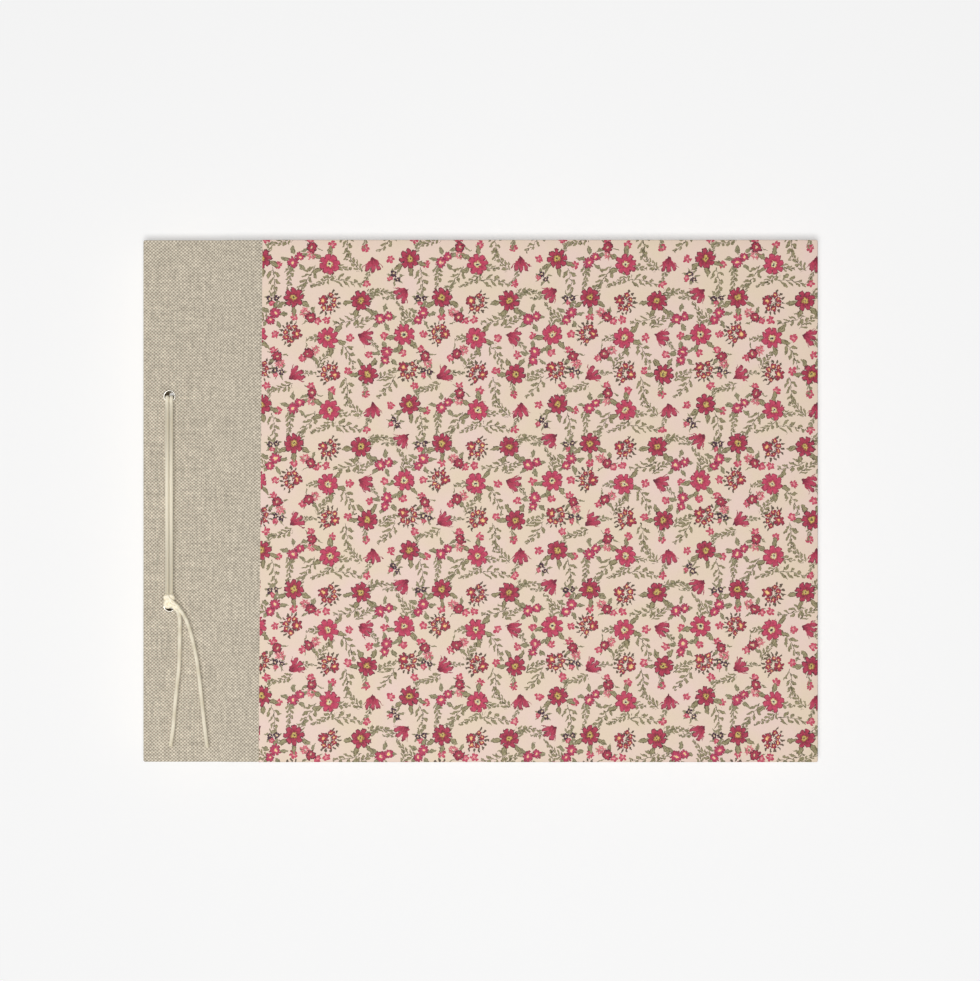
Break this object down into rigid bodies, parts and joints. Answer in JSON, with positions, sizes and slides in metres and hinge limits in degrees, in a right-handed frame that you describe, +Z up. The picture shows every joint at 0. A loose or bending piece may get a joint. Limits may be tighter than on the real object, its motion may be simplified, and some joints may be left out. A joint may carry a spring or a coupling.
{
  "type": "scrapbook album",
  "caption": "Landscape cord-laced album: linen spine strip and floral paper covers that open on cloth hinges, card leaves, eyelets and a knotted cotton cord.",
  "frame": {"origin": "centre of the back cover's outer face, on the surface that the album lies on", "axes": "+X from the spine edge to the fore edge, +Y from tail to head, +Z up through the front cover"},
  "size_m": [0.31, 0.24, 0.0276],
  "materials": {
    "greyboard": "bare millboard",
    "linen": "plain-weave book cloth, matt",
    "printed_paper": "matt printed cover paper with a small floral",
    "lining_paper": "plain matt paper",
    "eyelet_metal": "pale satin metal",
    "leaf_card": "uncoated card",
    "guard_card": "uncoated card",
    "cotton_cord": "braided unbleached cotton"
  },
  "bodies": {
    "back_cover": {"back_board": "greyboard", "back_linen_cover": "linen", "back_cover_paper": "printed_paper", "back_lining": "lining_paper"},
    "spine_block": {"leaf_stubs": "leaf_card", "guard_strips": "guard_card", "front_spine_board": "greyboard", "front_linen_strip": "linen", "front_eyelets": "eyelet_metal", "back_spine_board": "greyboard", "back_linen_strip": "linen", "back_eyelets": "eyelet_metal", "lacing_knot": "cotton_cord", "lacing_turn_left": "cotton_cord", "lacing_turn_right": "cotton_cord", "cord_tail_left": "cotton_cord", "cord_tail_right": "cotton_cord"},
    "front_cover": {"front_board": "greyboard", "front_linen_cover": "linen", "front_cover_paper": "printed_paper", "front_lining": "lining_paper"},
    "leaf_01": {"leaf_01": "leaf_card"},
    "leaf_02": {"leaf_02": "leaf_card"},
    "leaf_03": {"leaf_03": "leaf_card"},
    "leaf_04": {"leaf_04": "leaf_card"},
    "leaf_05": {"leaf_05": "leaf_card"},
    "leaf_06": {"leaf_06": "leaf_card"},
    "leaf_07": {"leaf_07": "leaf_card"},
    "leaf_08": {"leaf_08": "leaf_card"},
    "leaf_09": {"leaf_09": "leaf_card"},
    "leaf_10": {"leaf_10": "leaf_card"},
    "leaf_11": {"leaf_11": "leaf_card"},
    "leaf_12": {"leaf_12": "leaf_card"},
    "leaf_13": {"leaf_13": "leaf_card"},
    "leaf_14": {"leaf_14": "leaf_card"},
    "leaf_15": {"leaf_15": "leaf_card"},
    "leaf_16": {"leaf_16": "leaf_card"},
    "leaf_17": {"leaf_17": "leaf_card"},
    "leaf_18": {"leaf_18": "leaf_card"},
    "leaf_19": {"leaf_19": "leaf_card"},
    "leaf_20": {"leaf_20": "leaf_card"}
  },
  "joints": [
    {"name": "back_cover_hinge", "type": "hinge", "parent": "back_cover", "child": "spine_block", "pos_m": [-0.119, 0, 0.00015], "axis": [0, 1, 0], "range_deg": [-165, 0]},
    {"name": "front_cover_hinge", "type": "hinge", "parent": "spine_block", "child": "front_cover", "pos_m": [-0.119, 0, 0.0242], "axis": [0, -1, 0], "range_deg": [0, 165]},
    {"name": "leaf_01_turn", "type": "hinge", "parent": "spine_block", "child": "leaf_01", "pos_m": [-0.119, 0, 0.0242], "axis": [0, -1, 0], "range_deg": [0, 164.16]},
    {"name": "leaf_02_turn", "type": "hinge", "parent": "spine_block", "child": "leaf_02", "pos_m": [-0.119, 0, 0.0242], "axis": [0, -1, 0], "range_deg": [0, 163.85]},
    {"name": "leaf_03_turn", "type": "hinge", "parent": "spine_block", "child": "leaf_03", "pos_m": [-0.119, 0, 0.0242], "axis": [0, -1, 0], "range_deg": [0, 163.42]},
    {"name": "leaf_04_turn", "type": "hinge", "parent": "spine_block", "child": "leaf_04", "pos_m": [-0.119, 0, 0.0242], "axis": [0, -1, 0], "range_deg": [0, 162.83]},
    {"name": "leaf_05_turn", "type": "hinge", "parent": "spine_block", "child": "leaf_05", "pos_m": [-0.119, 0, 0.0242], "axis": [0, -1, 0], "range_deg": [0, 162]},
    {"name": "leaf_06_turn", "type": "hinge", "parent": "spine_block", "child": "leaf_06", "pos_m": [-0.119, 0, 0.0242], "axis": [0, -1, 0], "range_deg": [0, 160.85]},
    {"name": "leaf_07_turn", "type": "hinge", "parent": "spine_block", "child": "leaf_07", "pos_m": [-0.119, 0, 0.0242], "axis": [0, -1, 0], "range_deg": [0, 159.28]},
    {"name": "leaf_08_turn", "type": "hinge", "parent": "spine_block", "child": "leaf_08", "pos_m": [-0.119, 0, 0.0242], "axis": [0, -1, 0], "range_deg": [0, 157.1]},
    {"name": "leaf_09_turn", "type": "hinge", "parent": "spine_block", "child": "leaf_09", "pos_m": [-0.119, 0, 0.0242], "axis": [0, -1, 0], "range_deg": [0, 154.1]},
    {"name": "leaf_10_turn", "type": "hinge", "parent": "spine_block", "child": "leaf_10", "pos_m": [-0.119, 0, 0.0242], "axis": [0, -1, 0], "range_deg": [0, 149.97]},
    {"name": "leaf_11_turn", "type": "hinge", "parent": "spine_block", "child": "leaf_11", "pos_m": [-0.119, 0, 0.01245], "axis": [0, -1, 0], "range_deg": [0, 9.01]},
    {"name": "leaf_12_turn", "type": "hinge", "parent": "spine_block", "child": "leaf_12", "pos_m": [-0.119, 0, 0.0117], "axis": [0, -1, 0], "range_deg": [0, 6.54]},
    {"name": "leaf_13_turn", "type": "hinge", "parent": "spine_block", "child": "leaf_13", "pos_m": [-0.119, 0, 0.01095], "axis": [0, -1, 0], "range_deg": [0, 4.72]},
    {"name": "leaf_14_turn", "type": "hinge", "parent": "spine_block", "child": "leaf_14", "pos_m": [-0.119, 0, 0.0102], "axis": [0, -1, 0], "range_deg": [0, 3.42]},
    {"name": "leaf_15_turn", "type": "hinge", "parent": "spine_block", "child": "leaf_15", "pos_m": [-0.119, 0, 0.00945], "axis": [0, -1, 0], "range_deg": [0, 2.48]},
    {"name": "leaf_16_turn", "type": "hinge", "parent": "spine_block", "child": "leaf_16", "pos_m": [-0.119, 0, 0.0087], "axis": [0, -1, 0], "range_deg": [0, 1.8]},
    {"name": "leaf_17_turn", "type": "hinge", "parent": "spine_block", "child": "leaf_17", "pos_m": [-0.119, 0, 0.00795], "axis": [0, -1, 0], "range_deg": [0, 1.31]},
    {"name": "leaf_18_turn", "type": "hinge", "parent": "spine_block", "child": "leaf_18", "pos_m": [-0.119, 0, 0.0072], "axis": [0, -1, 0], "range_deg": [0, 0.95]},
    {"name": "leaf_19_turn", "type": "hinge", "parent": "spine_block", "child": "leaf_19", "pos_m": [-0.119, 0, 0.00645], "axis": [0, -1, 0], "range_deg": [0, 0.68]},
    {"name": "leaf_20_turn", "type": "hinge", "parent": "spine_block", "child": "leaf_20", "pos_m": [-0.119, 0, 0.0057], "axis": [0, -1, 0], "range_deg": [0, 0.5]}
  ],
  "couplings": [
    {"joint": "leaf_01_turn", "follows": "front_cover_hinge", "ratio": 0.9949},
    {"joint": "leaf_02_turn", "follows": "front_cover_hinge", "ratio": 0.993},
    {"joint": "leaf_03_turn", "follows": "front_cover_hinge", "ratio": 0.9904},
    {"joint": "leaf_04_turn", "follows": "front_cover_hinge", "ratio": 0.9868},
    {"joint": "leaf_05_turn", "follows": "front_cover_hinge", "ratio": 0.9818},
    {"joint": "leaf_06_turn", "follows": "front_cover_hinge", "ratio": 0.9748},
    {"joint": "leaf_07_turn", "follows": "front_cover_hinge", "ratio": 0.9653},
    {"joint": "leaf_08_turn", "follows": "front_cover_hinge", "ratio": 0.9521},
    {"joint": "leaf_09_turn", "follows": "front_cover_hinge", "ratio": 0.9339},
    {"joint": "leaf_10_turn", "follows": "front_cover_hinge", "ratio": 0.9089},
    {"joint": "leaf_11_turn", "follows": "front_cover_hinge", "ratio": 0.0546},
    {"joint": "leaf_12_turn", "follows": "front_cover_hinge", "ratio": 0.0396},
    {"joint": "leaf_13_turn", "follows": "front_cover_hinge", "ratio": 0.0286},
    {"joint": "leaf_14_turn", "follows": "front_cover_hinge", "ratio": 0.0207},
    {"joint": "leaf_15_turn", "follows": "front_cover_hinge", "ratio": 0.015},
    {"joint": "leaf_16_turn", "follows": "front_cover_hinge", "ratio": 0.0109},
    {"joint": "leaf_17_turn", "follows": "front_cover_hinge", "ratio": 0.0079},
    {"joint": "leaf_18_turn", "follows": "front_cover_hinge", "ratio": 0.0057},
    {"joint": "leaf_19_turn", "follows": "front_cover_hinge", "ratio": 0.0041},
    {"joint": "leaf_20_turn", "follows": "front_cover_hinge", "ratio": 0.003}
  ]
}
